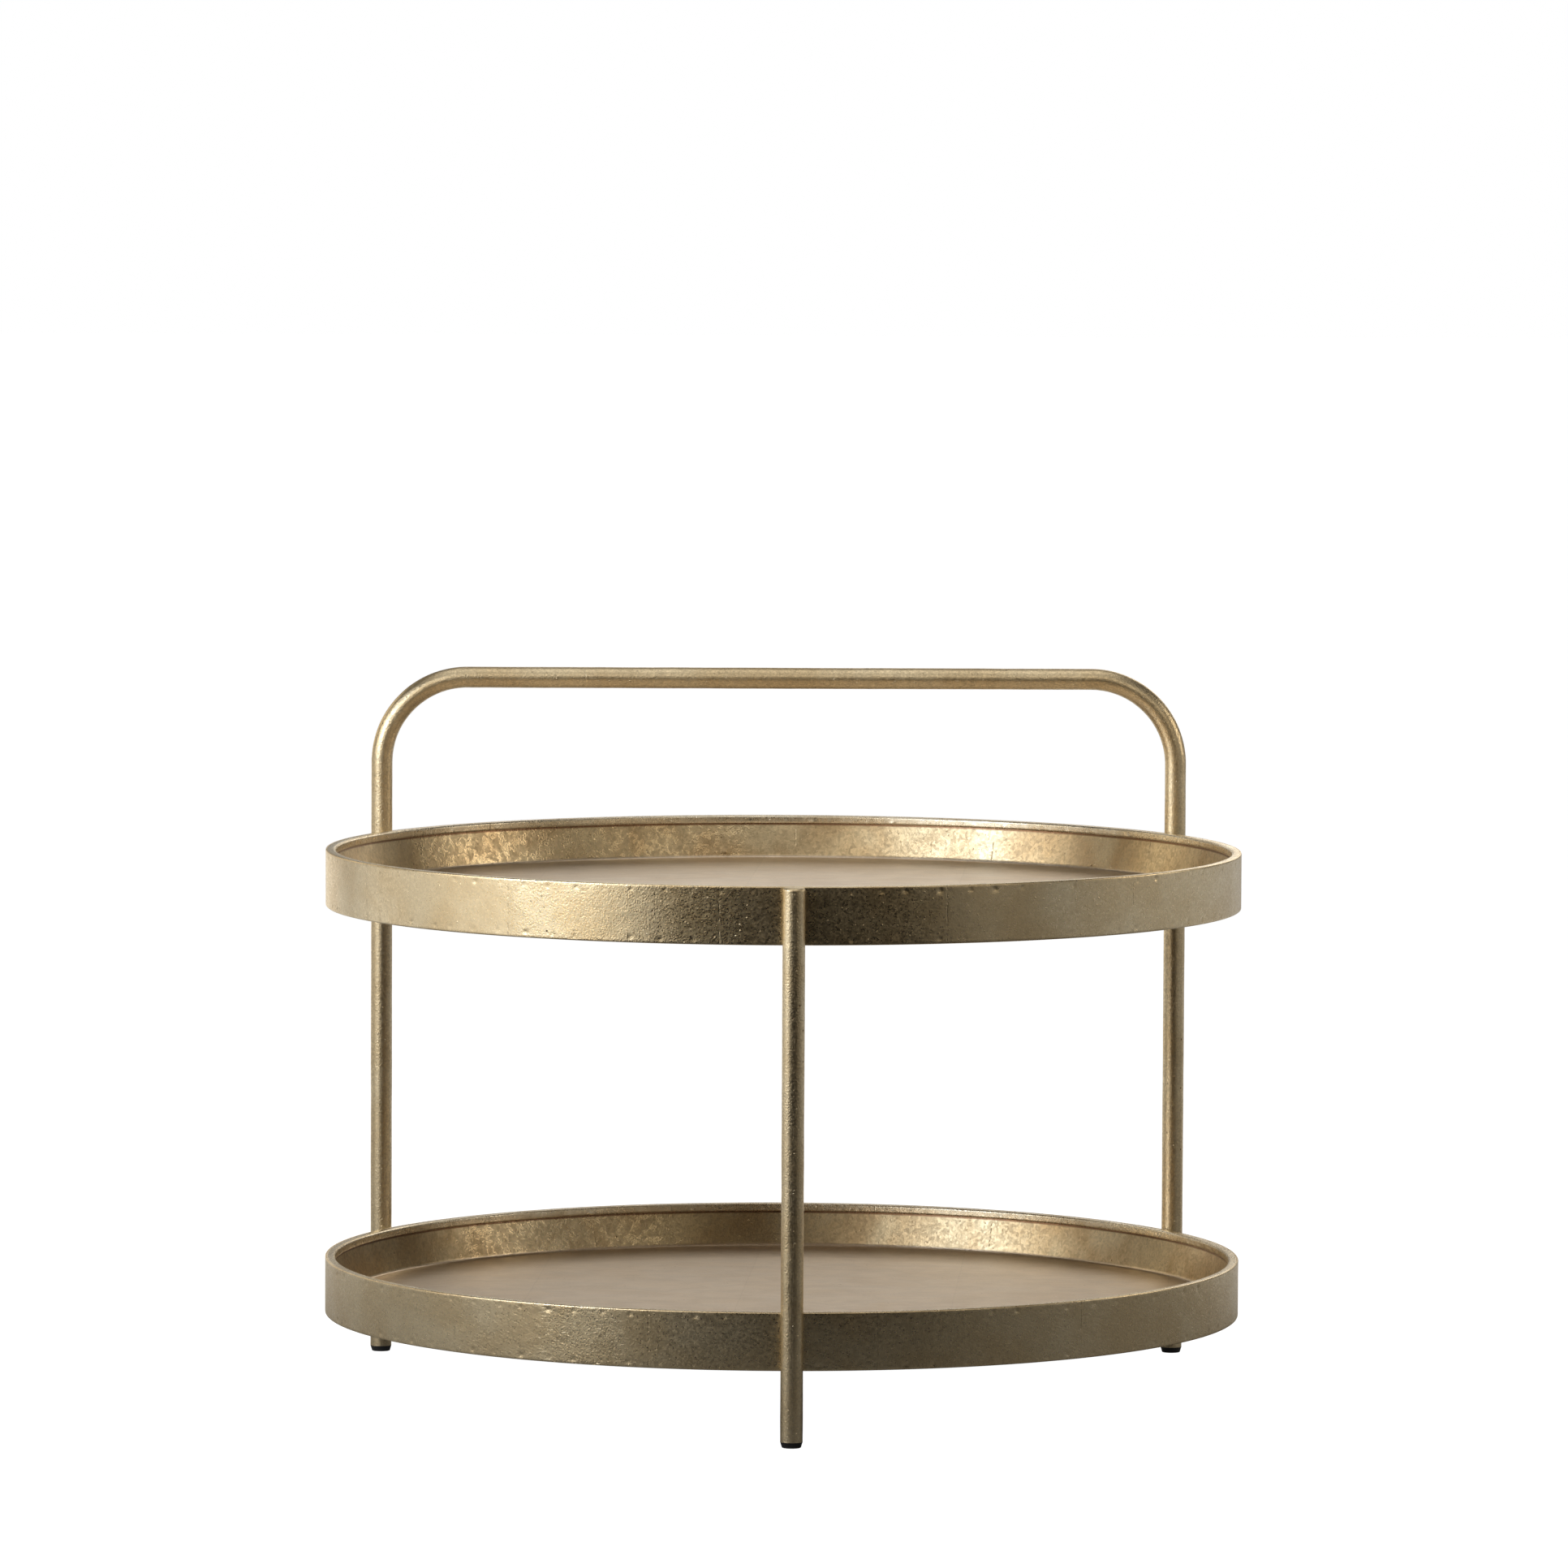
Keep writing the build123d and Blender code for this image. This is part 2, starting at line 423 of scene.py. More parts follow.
@dataclass(frozen=True)
class Studio:
    """Pale floor, white surroundings for the eye, and soft panels for the metal to reflect."""

    floor_size: float = 60.0
    banks: tuple[PanelBank, ...] = (HIGH_BANK, LOW_BANK, FRONT_PANEL, TOP_PANEL)
    ramp: tuple[Point, ...] = ((0.0, 0.0), (0.7, 0.02), (1.0, 0.28))
    room_tint: Triple = (1.0, 0.95, 0.88)
    matte: Triple = (0.30, 0.29, 0.28)
    lift: float = 1.0
    front_share: float = 0.1
    glow: float = 0.47
    glow_start: float = 0.1
    glow_end: float = 0.9
    aim: float = 0.25

    def build(self) -> None:
        """Makes the floor, the surroundings and the lights."""
        self.make_floor()
        self.make_surroundings()
        target = Vector((TIER_CENTRE.x, TIER_CENTRE.y, self.aim))
        for bank in self.banks:
            bank.build(target)
        bpy.context.scene.view_settings.view_transform = "Standard"

    def make_floor(self) -> None:
        """A wide flat floor under the table."""
        bm = bmesh.new()
        bmesh.ops.create_grid(bm, x_segments=1, y_segments=1, size=self.floor_size / 2)
        mesh = bpy.data.meshes.new("floor")
        bm.to_mesh(mesh)
        bm.free()
        floor = bpy.data.objects.new("floor", mesh)
        bpy.context.scene.collection.objects.link(floor)
        floor.data.materials.append(self.floor_paint())

    def floor_paint(self) -> Material:
        """Matte floor, lifted to white where the eye sees it, glowing behind the table for the metal.

        From below it is clear, so that the table's underside can be looked at.

        Returns:
            The material.
        """
        material = bpy.data.materials.new("floor_paint")
        wiring = Wiring(material)
        wiring.tree.nodes.clear()
        node = wiring.node
        depth = wiring.split(node("TexCoord", {}, "Object"))[1]
        start, end = self.glow_start, self.glow_end
        behind = node("MapRange", {"Value": depth, "From Min": start, "From Max": end})
        tones = {"To Min": self.front_share * self.matte[0], "To Max": self.matte[0]}
        fading = node("MapRange", {"Value": depth, "From Min": -end, "From Max": -start, **tones})
        glow = node("Emission", {"Color": behind, "Strength": self.glow})
        reflected = node("AddShader", {0: node("BsdfDiffuse", {"Color": fading}), 1: glow})
        lift = node("Emission", {"Color": WHITE, "Strength": self.lift})
        seen = node("AddShader", {0: node("BsdfDiffuse", {"Color": (*self.matte, 1)}), 1: lift})
        mix = node("MixShader", {0: node("LightPath", {}, "Is Camera Ray"), 1: reflected, 2: seen})
        below = node("NewGeometry", {}, "Backfacing")
        above = node("MixShader", {0: below, 1: mix, 2: node("BsdfTransparent", {})})
        wiring.feed(wiring.tree.nodes.new("ShaderNodeOutputMaterial"), {"Surface": above})
        return material

    def make_surroundings(self) -> None:
        """White to the eye; for the metal, dark in front and paler towards the back."""
        world = bpy.data.worlds.new("studio")
        wiring = Wiring(world)
        wiring.tree.nodes.clear()
        node = wiring.node
        depth = wiring.split(node("TexCoord", {}, "Generated"))[1]
        ramp = node("ValToRGB", {"Fac": node("MapRange", {"Value": depth, "From Min": -1.0})})
        stops = ramp.node.color_ramp.elements
        stops[0].position, stops[1].position = self.ramp[0][0], self.ramp[-1][0]
        for place, _ in self.ramp[1:-1]:
            stops.new(place)
        for stop, (_, level) in zip(stops, self.ramp):
            stop.color = (*(level * tint for tint in self.room_tint), 1)
        room, white = (node("Background", {"Color": colour}) for colour in (ramp, WHITE))
        mix = node("MixShader", {0: node("LightPath", {}, "Is Camera Ray"), 1: room, 2: white})
        wiring.feed(wiring.tree.nodes.new("ShaderNodeOutputWorld"), {"Surface": mix})
        bpy.context.scene.world = world


# ---- laying a finish


class Coat(Wiring):
    """Lays the nodes of one finish."""

    def __init__(self, name: str) -> None:
        """Starts a material of that name."""
        self.material = bpy.data.materials.new(name)
        super().__init__(self.material)
        self.place = self.node("TexCoord", {}, "Object")

    def math(self, operation: str, first: Value, second: Value = 0.0) -> Socket:
        """One sum of two values."""
        return self.node("Math", {0: first, 1: second}, operation=operation)

    def times(self, first: Value, second: Value) -> Socket:
        """One value times the other."""
        return self.math("MULTIPLY", first, second)

    def span(self, value: Socket, low: float, high: float, start: Value = 0.0, end: Value = 1.0) -> Socket:
        """Carries a value smoothly from one range to another, and holds it there."""
        feeds = {"Value": value, "From Min": low, "From Max": high, "To Min": start, "To Max": end}
        return self.node("MapRange", feeds, interpolation_type="SMOOTHSTEP")

    def blend(self, share: Value, first: Socket | Triple, second: Socket | Triple) -> Socket:
        """Mixes two colours."""
        first, second = ((*tone, 1.0) if isinstance(tone, tuple) else tone for tone in (first, second))
        return self.node("Mix", {0: share, 6: first, 7: second}, 2, data_type="RGBA")

    def darkened(self, colour: Socket, level: Socket) -> Socket:
        """Multiplies a colour by a level."""
        return self.node("VectorMath", {0: colour, 1: level}, operation="MULTIPLY")

    def laid(
        self, where: Socket, shift: Triple = (0, 0, 0), turn: float = 0, scale: Triple = (1, 1, 1)
    ) -> Socket:
        """Moves, turns and stretches a pattern's coordinates."""
        placed = self.node("Mapping", {0: where, "Location": shift, "Rotation": (0, 0, math.radians(turn))})
        return self.node("Mapping", {0: placed, "Scale": scale})

    def unrolled(self, radius: float) -> Socket:
        """Coordinates that follow a turned surface as if it were rolled out flat.

        Args:
            radius: The surface's radius in metres.

        Returns:
            Length round the tier from the front, level, and distance from the axis.
        """
        x, y, z = self.split(self.laid(self.place, (-TIER_CENTRE.x, -TIER_CENTRE.y, 0)))
        bearing = self.math("ARCTAN2", x, self.times(y, -1.0))
        flat = self.node("CombineXYZ", {"X": x, "Y": y})
        reach = self.node("VectorMath", {0: flat}, "Value", operation="LENGTH")
        return self.node("CombineXYZ", {"X": self.times(bearing, radius), "Y": z, "Z": reach})

    def noise(self, where: Socket, size: float, detail: float = 2.0, warp: float = 0.0) -> Socket:
        """Cloudy noise."""
        feeds = {"Vector": where, "Scale": 1 / size, "Detail": detail, "Distortion": warp}
        return self.node("TexNoise", feeds)

    def warped(self, where: Socket, size: float, reach: float) -> Socket:
        """Bends coordinates about so that a regular pattern looks grown.

        Args:
            where: The coordinates.
            size: The width of a bend in metres.
            reach: How far a point is moved in metres.

        Returns:
            The bent coordinates.
        """
        cloud = self.node("TexNoise", {"Vector": where, "Scale": 1 / size, "Detail": 2.0}, "Color")
        centred = self.node("VectorMath", {0: cloud, 1: (0.5, 0.5, 0.5)}, operation="SUBTRACT")
        push = self.node("VectorMath", {0: centred, "Scale": reach * 2}, operation="SCALE")
        return self.node("VectorMath", {0: where, 1: push}, operation="ADD")

    def cells(self, where: Socket, size: float, outlet: str = "Distance", feature: str = "F1") -> Socket:
        """Irregular cells of a given width in metres."""
        return self.node("TexVoronoi", {"Vector": where, "Scale": 1 / size}, outlet, feature=feature)

    def ridges(self, where: Socket, size: float, width: float) -> Socket:
        """Thin lines between cells, 1 on a line and 0 off it. The half width is a share of a cell."""
        return self.span(self.cells(where, size, feature="DISTANCE_TO_EDGE"), 0.0, width, 1.0, 0.0)

    def flakes(self, where: Socket, size: float) -> Socket:
        """Cells that each have a level of their own, of 0 to 1."""
        return self.split(self.cells(where, size, "Color"))[0]

    def dots(self, where: Socket, size: float, radius: float) -> Socket:
        """Scattered round spots, 1 in the middle and 0 off them. The radius is a share of their spacing."""
        return self.span(self.cells(where, size), radius * 0.4, radius, 1.0, 0.0)

    def total(self, *parts: tuple[Value, Value]) -> Socket:
        """Adds up values, each times its weight.

        Args:
            parts: Pairs of value and weight.

        Returns:
            The sum.
        """
        amount: Value = 0.0
        for value, weight in parts:
            feeds = {0: value, 1: weight, 2: amount}
            amount = self.node("Math", feeds, operation="MULTIPLY_ADD")
        return amount

    def finish(self, colour: Socket, roughness: Socket, height: Socket, metallic: float) -> Material:
        """Feeds the shader.

        Args:
            colour: The base colour.
            roughness: The roughness.
            height: The relief in metres.
            metallic: How metallic the surface is.

        Returns:
            The material.
        """
        bump = self.node("Bump", {"Height": height, "Distance": 1.0, "Strength": 1.0})
        feeds = {"Base Color": colour, "Roughness": roughness, "Normal": bump, "Metallic": metallic}
        self.feed(self.tree.nodes["Principled BSDF"], feeds)
        return self.material


class LeafCoat(Coat):
    """A coat of gold leaf, with the layers that its colour, gloss and relief share."""

    def __init__(self, leaf: "GoldLeaf") -> None:
        """Lays the shared layers: rolled-out coordinates, wrinkled stretches, islands and sheet joints.

        Args:
            leaf: The finish.
        """
        super().__init__(leaf.name)
        self.leaf = leaf
        self.rolled = self.unrolled(leaf.radius)
        self.rough = self.roughened()
        self.islands = self.burnished()
        self.seam, self.sheet = self.sheets()

    def roughened(self) -> Socket:
        """Where the leaf is wrinkled rather than burnished: in patches, or along one stretch.

        Returns:
            0 where it is calm and 1 where it is wrinkled.
        """
        leaf = self.leaf
        cloud = self.noise(self.place, leaf.patch, 2.0, 0.6)
        if leaf.crinkled:
            start, end = (math.radians(bearing) * leaf.radius for bearing in leaf.crinkled)
            along = self.split(self.rolled)[0]
            begun = self.span(along, start - leaf.fade, start + leaf.fade)
            not_over = self.span(along, end - leaf.fade, end + leaf.fade, 1.0, 0.0)
            cloud = self.total((cloud, 0.5), (self.times(begun, not_over), 0.33), (1.0, 0.10))
        return self.span(cloud, 0.40, 0.62)

    def burnished(self) -> Socket:
        """Islands of whole leaf among leaf that is rubbed thin, 1 on an island and 0 off it."""
        bent = self.warped(self.place, 6 * MM, 3 * MM)
        return self.times(self.span(self.noise(bent, self.leaf.island, 8.0, 0.8), 0.46, 0.56), self.rough)

    def joint(self, place: Socket, width: float) -> Socket:
        """A thin line, of a width that is a share of a sheet, at every whole place."""
        away = self.math("ABSOLUTE", self.math("SUBTRACT", self.math("FRACT", place), 0.5))
        return self.span(away, 0.5 - width, 0.5)

    def sheets(self) -> tuple[Socket, Socket]:
        """The leaf's sheets round the tier.

        Returns:
            1 on a joint, broken into dashes, and each sheet's own level of 0 to 1.
        """
        leaf = self.leaf
        along = self.split(self.warped(self.rolled, 12 * MM, 0.6 * MM))[0]
        length = FULL_TURN * leaf.radius / leaf.sheets
        start = math.radians(leaf.first_seam) * leaf.radius / length
        place = self.math("SUBTRACT", self.math("DIVIDE", along, length), start)
        line = self.joint(place, leaf.seam_width / length)
        dashes = self.span(self.noise(self.rolled, 4 * MM, 1.0), 0.48, 0.58, 0.08, 1.0)
        sheet = {"W": self.math("FLOOR", place)}
        return self.times(line, dashes), self.node("TexWhiteNoise", sheet, "Value", noise_dimensions="1D")

    def toned(self, flakes: Socket, share: Socket, sheet: float, grain: float, level: float) -> Socket:
        """The leaf's colour.

        Args:
            flakes: Each flake's level.
            share: How deep the tone is.
            sheet: How much the sheets' own levels show.
            grain: How much the grain shows.
            level: The level all over.

        Returns:
            The colour.
        """
        leaf = self.leaf
        levels = self.total(
            (flakes, -leaf.flake_depth), (self.sheet, -sheet), (self.seam, -leaf.seam_depth),
            (self.islands, leaf.island_gain), (self.noise(self.place, leaf.grain * 1.7, 2.0), grain),
            (1.0, level),
        )
        return self.darkened(self.blend(share, leaf.pale, leaf.deep), levels)

    def relief(self, pits: Socket) -> Socket:
        """The leaf's relief.

        Args:
            pits: The pits.

        Returns:
            The height in metres.
        """
        leaf = self.leaf
        strength = self.span(self.rough, 0.0, 1.0, leaf.calm_share, 1.0)
        wrinkles = self.ridges(self.warped(self.place, 4 * MM, 1.0 * MM), leaf.wrinkle, 0.16)
        parts = [
            (self.times(self.noise(self.place, leaf.grain, 3.0), strength), leaf.grain_height),
            (self.times(self.dots(self.place, leaf.speck, 0.12), strength), leaf.speck_height),
            (self.noise(self.place, leaf.wave, 1.0), leaf.wave_height),
            (self.times(wrinkles, self.rough), leaf.wrinkle_height),
            (self.seam, -0.10 * MM),
            (pits, -0.15 * MM),
        ]
        if leaf.brush_height:
            bent = self.warped(self.rolled, 30 * MM, 5 * MM)
            strokes = self.laid(bent, turn=leaf.brush_slant, scale=(0.12, 1, 1))
            scratches = self.laid(self.rolled, turn=leaf.scratch_slant, scale=(0.08, 1, 1))
            sharp = self.span(self.noise(scratches, 0.9 * MM, 0.0), 0.66, 0.71)
            parts.append((self.noise(strokes, 1.6 * MM, 2.0), leaf.brush_height))
            parts.append((self.times(sharp, self.rough), leaf.scratch_height))
        return self.total(*parts)


# ---- finishes


@dataclass(frozen=True)
class GoldLeaf:
    """Gold leaf laid over metal: blotches, wrinkles, fine grain, sheet seams and brown pits."""

    name: str
    radius: float
    pale: Triple = (0.84, 0.71, 0.48)
    deep: Triple = (0.76, 0.61, 0.38)
    pit: Triple = (0.20, 0.13, 0.07)
    smooth: float = 0.32
    worn: float = 0.27
    blotch: float = 45 * MM
    patch: float = 80 * MM
    crinkled: Point | None = None
    fade: float = 45 * MM
    grain: float = 1.2 * MM
    grain_height: float = 0.23 * MM
    calm_share: float = 0.38
    speck: float = 6 * MM
    speck_height: float = 0.30 * MM
    wave: float = 9 * MM
    wave_height: float = 0.05 * MM
    wrinkle: float = 3 * MM
    wrinkle_height: float = 0.008 * MM
    flake: float = 1.1 * MM
    flake_depth: float = 0.12
    island: float = 12 * MM
    island_gain: float = 0.06
    brush_height: float = 0.0
    brush_slant: float = 20.0
    scratch_slant: float = -6.0
    scratch_height: float = 0.20 * MM
    sheets: int = 13
    first_seam: float = 0.0
    seam_width: float = 0.7 * MM
    seam_depth: float = 0.26

    def build(self) -> Material:
        """Makes the material.

        Returns:
            The material.
        """
        coat = LeafCoat(self)
        flakes = coat.flakes(coat.warped(coat.place, 2 * self.flake, 0.4 * self.flake), self.flake)
        pits = coat.times(coat.dots(coat.place, 14 * MM, 0.07), coat.rough)
        share = coat.span(coat.noise(coat.place, self.blotch, 4.0, 0.4), 0.32, 0.68)
        colour = coat.blend(pits, coat.toned(flakes, share, 0.05, 0.30, 0.91), self.pit)
        gloss = coat.span(coat.rough, 0.0, 1.0, self.smooth, self.worn)
        roughness = coat.total((gloss, 1.0), (flakes, 0.16), (1.0, -0.06), (pits, 0.3))
        return coat.finish(colour, roughness, coat.relief(pits), 1.0)


@dataclass(frozen=True)
class PanLeaf(GoldLeaf):
    """Leaf on a tray's pan: flaky on the wall, matte and streaked on the floor, with painted shade under the
    lip and scattered painted glints.
    """

    floor_level: float = 0.0
    floor_tone: Triple = (0.74, 0.63, 0.50)
    floor_deep: Triple = (0.70, 0.58, 0.44)
    floor_rough: float = 0.37
    square: float = 152 * MM
    ring_radius: float = 240 * MM
    ring_depth: float = 0.04
    # colour of the painted glints scattered over the pan
    painted_glint: Triple = (0.95, 0.90, 0.80)
    mouth_level: float = 0.0
    # colour of the painted shade on the wall just under the lip
    painted_lip_shade: Triple = (0.24, 0.14, 0.08)

    def grid(self, coat: LeafCoat) -> tuple[Socket, Socket]:
        """The leaf squares of the floor.

        Args:
            coat: The coat.

        Returns:
            1 on a joint, and each square's own level of 0 to 1.
        """
        bent = coat.warped(coat.laid(coat.place, (0.03, 0.05, 0), 4.0), 20 * MM, 1.0 * MM)
        places = [coat.math("DIVIDE", along, self.square) for along in coat.split(bent)[:2]]
        lines = [coat.joint(place, self.seam_width / self.square) for place in places]
        cell = coat.node("CombineXYZ", {axis: coat.math("FLOOR", place) for axis, place in enumerate(places)})
        own = coat.node("TexWhiteNoise", {"Vector": cell}, "Value", noise_dimensions="3D")
        return coat.math("MAXIMUM", *lines), own

    def build(self) -> Material:
        """Makes the material.

        Returns:
            The material.
        """
        coat = LeafCoat(self)
        solid = coat.place
        up = coat.split(solid)[2]
        wall = coat.span(up, self.floor_level + 0.6 * MM, self.floor_level + 2.4 * MM)
        off_wall = coat.math("SUBTRACT", 1.0, wall)
        flakes = coat.flakes(coat.warped(solid, 6 * MM, 3 * MM), self.flake)
        pits = coat.dots(solid, 18 * MM, 0.05)
        share = coat.span(coat.noise(solid, self.blotch, 5.0, 0.5), 0.34, 0.66)
        strokes = coat.laid(coat.warped(solid, 50 * MM, 9 * MM), turn=3.0, scale=(0.16, 1, 1))
        streaks = coat.span(coat.noise(strokes, 5 * MM, 3.0), 0.54, 0.70)
        brushed = coat.span(coat.noise(strokes, 14 * MM, 5.0), 0.40, 0.60)
        mottled = coat.span(coat.noise(solid, 22 * MM, 6.0, 0.8), 0.38, 0.62)
        cloud = coat.noise(solid, 38 * MM, 5.0, 0.4)
        grid, square = self.grid(coat)
        reach = coat.split(coat.warped(coat.rolled, 50 * MM, 4 * MM))[2]
        ring = coat.span(reach, self.ring_radius, self.ring_radius + 7 * MM)
        floor_colour = coat.darkened(
            coat.blend(coat.span(cloud, 0.30, 0.70), self.floor_tone, self.floor_deep),
            coat.total(
                (grid, -0.07), (square, -0.04), (ring, -self.ring_depth), (streaks, 0.03), (brushed, 0.03),
                (coat.noise(solid, 2.0 * MM, 3.0), 0.24), (mottled, 0.07), (1.0, 0.785),
            ),
        )
        colour = coat.blend(wall, floor_colour, coat.toned(flakes, share, 0.06, 0.35, 0.70))
        colour = coat.blend(pits, colour, self.pit)
        # Painted glints: sparse pale dots blended over the whole pan.
        colour = coat.blend(coat.dots(solid, 34 * MM, 0.022), colour, self.painted_glint)
        # Painted shade: the top of the wall, just under the lip's overhang, is blended to a dark brown.
        painted_lip_shade_mask = coat.span(up, self.mouth_level - 1.8 * MM, self.mouth_level - 0.7 * MM)
        colour = coat.blend(painted_lip_shade_mask, colour, self.painted_lip_shade)
        wall_rough = coat.total((flakes, 0.08), (coat.islands, -0.10), (1.0, self.smooth))
        floor_rough = coat.total((streaks, -0.04), (cloud, 0.10), (1.0, self.floor_rough - 0.05))
        roughness = coat.total((wall_rough, wall), (floor_rough, off_wall))
        fine = coat.noise(solid, 1.2 * MM, 2.0)
        floor_height = coat.total((fine, 0.14 * MM), (cloud, 0.25 * MM), (grid, -0.04 * MM))
        height = coat.total((coat.relief(pits), wall), (floor_height, off_wall))
        return coat.finish(colour, roughness, height, 1.0)


@dataclass(frozen=True)
class GiltPaint:
    """Satin gold paint on the undersides: orange peel, dull patches and a little dust."""

    name: str
    bright: Triple = (0.56, 0.44, 0.25)
    dull: Triple = (0.36, 0.28, 0.17)
    peel: float = 2.2 * MM
    peel_height: float = 0.06 * MM

    def build(self) -> Material:
        """Makes the material.

        Returns:
            The material.
        """
        coat = Coat(self.name)
        solid = coat.place
        cloud = coat.noise(solid, 50 * MM, 4.0, 0.3)
        speckle = coat.noise(solid, 0.8 * MM, 2.0)
        colour = coat.blend(coat.span(cloud, 0.35, 0.65), self.bright, self.dull)
        colour = coat.darkened(colour, coat.total((speckle, 0.4), (1.0, 0.8)))
        roughness = coat.span(cloud, 0.3, 0.7, 0.42, 0.60)
        height = coat.total((coat.noise(solid, self.peel, 2.0), self.peel_height), (speckle, 0.02 * MM))
        return coat.finish(colour, roughness, height, 0.8)


@dataclass(frozen=True)
class BlackPlastic:
    """Moulded black plastic with a fine matte texture and scuffs where it meets the floor."""

    name: str
    black: Triple = (0.018, 0.018, 0.019)
    scuffed: Triple = (0.09, 0.085, 0.08)

    def build(self) -> Material:
        """Makes the material.

        Returns:
            The material.
        """
        coat = Coat(self.name)
        solid = coat.place
        fine = coat.noise(solid, 0.5 * MM, 3.0)
        level = coat.split(solid)[2]
        low = coat.span(level, 0.0, 1.2 * MM, 1.0, 0.0)
        worn = coat.times(low, coat.span(coat.noise(solid, 1.5 * MM, 4.0), 0.42, 0.66))
        colour = coat.blend(worn, self.black, self.scuffed)
        roughness = coat.total((worn, 0.25), (fine, 0.12), (1.0, 0.40))
        return coat.finish(colour, roughness, coat.total((fine, 0.03 * MM)), 0.0)


# ---- the trays


def turned_past(bearing: np.ndarray, at: float) -> np.ndarray:
    """How far bearings lie past another one, the short way round."""
    return np.remainder(bearing - at + math.pi, FULL_TURN) - math.pi


def pan_sizes(tier: "Tier") -> tuple[RingSpan, float, float]:
    """Measures a tray's pan.

    Args:
        tier: The tray.

    Returns:
        The pan's span, its floor's level and its mouth's inner radius.
    """
    node = f"{tier.value}_pan"
    span = RingSpan.of(node)
    places = rows_of(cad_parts[node].data.vertices, "co")
    reach = np.hypot(places[:, 0] - TIER_CENTRE.x, places[:, 1] - TIER_CENTRE.y)
    mouth = float(reach[places[:, 2] > span.high - 0.01 * MM].min())
    return span, span.low + (span.outer - mouth), mouth


class Tier(Enum):
    """The table's two trays."""

    UPPER = "upper"
    LOWER = "lower"


@dataclass(frozen=True)
class DentRow:
    """A row of small dents round a band, where it was tacked to the piece behind it."""

    level: float
    pitch: float = 21 * MM
    width: float = 1.3 * MM
    depth: float = 0.62 * MM

    def depths(self, places: np.ndarray, radius: float, rng: np.random.Generator) -> np.ndarray:
        """How deep each vertex sinks.

        Args:
            places: Vertices about the tiers' axis.
            radius: The band's outer radius.
            rng: The source of unevenness.

        Returns:
            One depth in metres for each vertex.
        """
        bearing = np.arctan2(places[:, 1], places[:, 0])
        count = round(FULL_TURN * radius / self.pitch)
        sunk = np.zeros(len(places))
        for index in range(count):
            at = FULL_TURN * (index + rng.uniform(-0.14, 0.14)) / count - math.pi
            level = self.level + rng.uniform(-0.7, 0.7) * MM
            wide = self.width * rng.uniform(0.7, 1.35)
            tall = wide * rng.uniform(0.55, 0.8)
            deep = self.depth * rng.choice((0.35, 0.7, 1.0, 1.25))
            across = turned_past(bearing, at) * radius
            near = np.abs(across) < 4 * wide
            bowl = np.exp(-((across[near] / wide) ** 2) - ((places[near, 2] - level) / tall) ** 2)
            sunk[near] += deep * bowl
        return sunk


